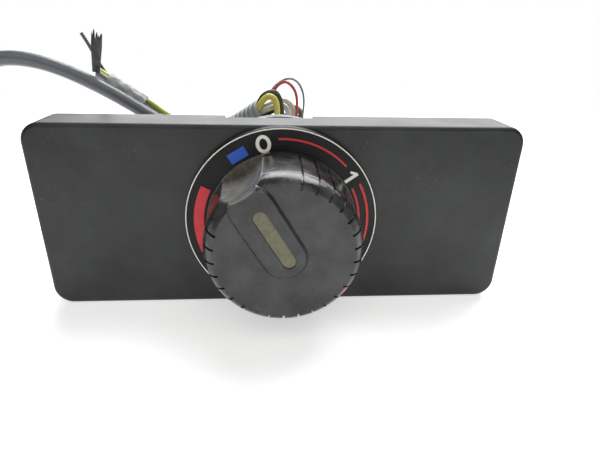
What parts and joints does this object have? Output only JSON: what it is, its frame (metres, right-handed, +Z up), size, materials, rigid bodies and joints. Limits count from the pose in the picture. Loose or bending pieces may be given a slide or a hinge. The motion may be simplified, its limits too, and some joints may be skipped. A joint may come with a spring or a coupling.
{
  "type": "rotary selector switch",
  "caption": "Dashboard rotary selector switch: rectangular panel, round printed dial, ribbed pointer knob with light window, rear switch housing and wire loom.",
  "frame": {"origin": "on the knob's axis, in the plane where the panel's screw bosses end", "axes": "+X along the panel to the right seen from the front, +Y along the knob's axis into the dashboard, +Z up"},
  "size_m": [0.209, 0.0676, 0.0644],
  "materials": {
    "panel_plastic": "satin moulded ABS, fine grain",
    "dial_plastic": "matt black moulded plastic",
    "knob_plastic": "satin moulded plastic, worn glossy on the edges",
    "white_print": "pad-printed ink",
    "red_print": "pad-printed ink",
    "blue_print": "pad-printed ink",
    "window_clear": "aged translucent acrylic",
    "housing_plastic": "moulded nylon, grey",
    "board": "phenolic board",
    "carbon_track": "carbon ink",
    "brass": "rolled strip",
    "steel": "zinc plated",
    "spring_steel": "drawn wire",
    "lamp_glass": "clear",
    "sleeve_plastic": "corrugated polyamide conduit",
    "tape_cloth": "woven cloth tape",
    "yellow_pvc": "extruded PVC",
    "green_pvc": "extruded PVC",
    "white_pvc": "extruded PVC",
    "brown_pvc": "extruded PVC",
    "black_pvc": "extruded PVC",
    "red_pvc": "extruded PVC",
    "grey_pvc": "extruded PVC",
    "plug_plastic": "moulded nylon, natural"
  },
  "bodies": {
    "base": {"branch_stray_lead": "grey_pvc", "coil_tie": "black_pvc", "contact_tracks": "carbon_track", "cover_screws": "steel", "detent_spring": "spring_steel", "dial_blue_mark": "blue_print", "dial_plate": "dial_plastic", "dial_red_marks": "red_print", "dial_ring_and_figures": "white_print", "dial_screws": "steel", "front_panel": "panel_plastic", "lamp_bulb": "lamp_glass", "lamp_holder": "plug_plastic", "lead_black": "black_pvc", "lead_brown": "brown_pvc", "lead_green": "green_pvc", "lead_lamp_grey": "grey_pvc", "lead_lamp_red": "red_pvc", "lead_white_front": "white_pvc", "lead_white_rear": "white_pvc", "lead_yellow": "yellow_pvc", "loom_branch": "white_pvc", "loom_cable": "tape_cloth", "loom_coil": "tape_cloth", "loom_sleeve": "sleeve_plastic", "loom_tail": "tape_cloth", "loom_tape": "tape_cloth", "plug_housing": "plug_plastic", "plug_terminals": "brass", "rear_cover": "housing_plastic", "spade_terminals": "brass", "spindle_bush": "brass", "switch_housing": "housing_plastic", "tape_tail": "tape_cloth", "track_board": "board", "wire_receptacles": "plug_plastic"},
    "knob": {"selector_knob": "knob_plastic", "knob_window": "window_clear", "spindle": "steel", "light_pipe": "window_clear", "thrust_washer": "steel", "spindle_circlip": "spring_steel", "contact_rotor": "housing_plastic", "wiper_contacts": "brass"},
    "detent_ball": {"detent_ball": "steel"}
  },
  "joints": [
    {"name": "knob_turn", "type": "hinge", "parent": "base", "child": "knob", "pos_m": [0, 0, 0], "axis": [0, 1, 0], "range_deg": [-84, 168]},
    {"name": "detent_press", "type": "slide", "parent": "base", "child": "detent_ball", "axis": [0, 1, 0], "range_m": [0, 0.0006], "stiffness_N_per_m": 300, "deforming": ["detent_spring"]}
  ]
}
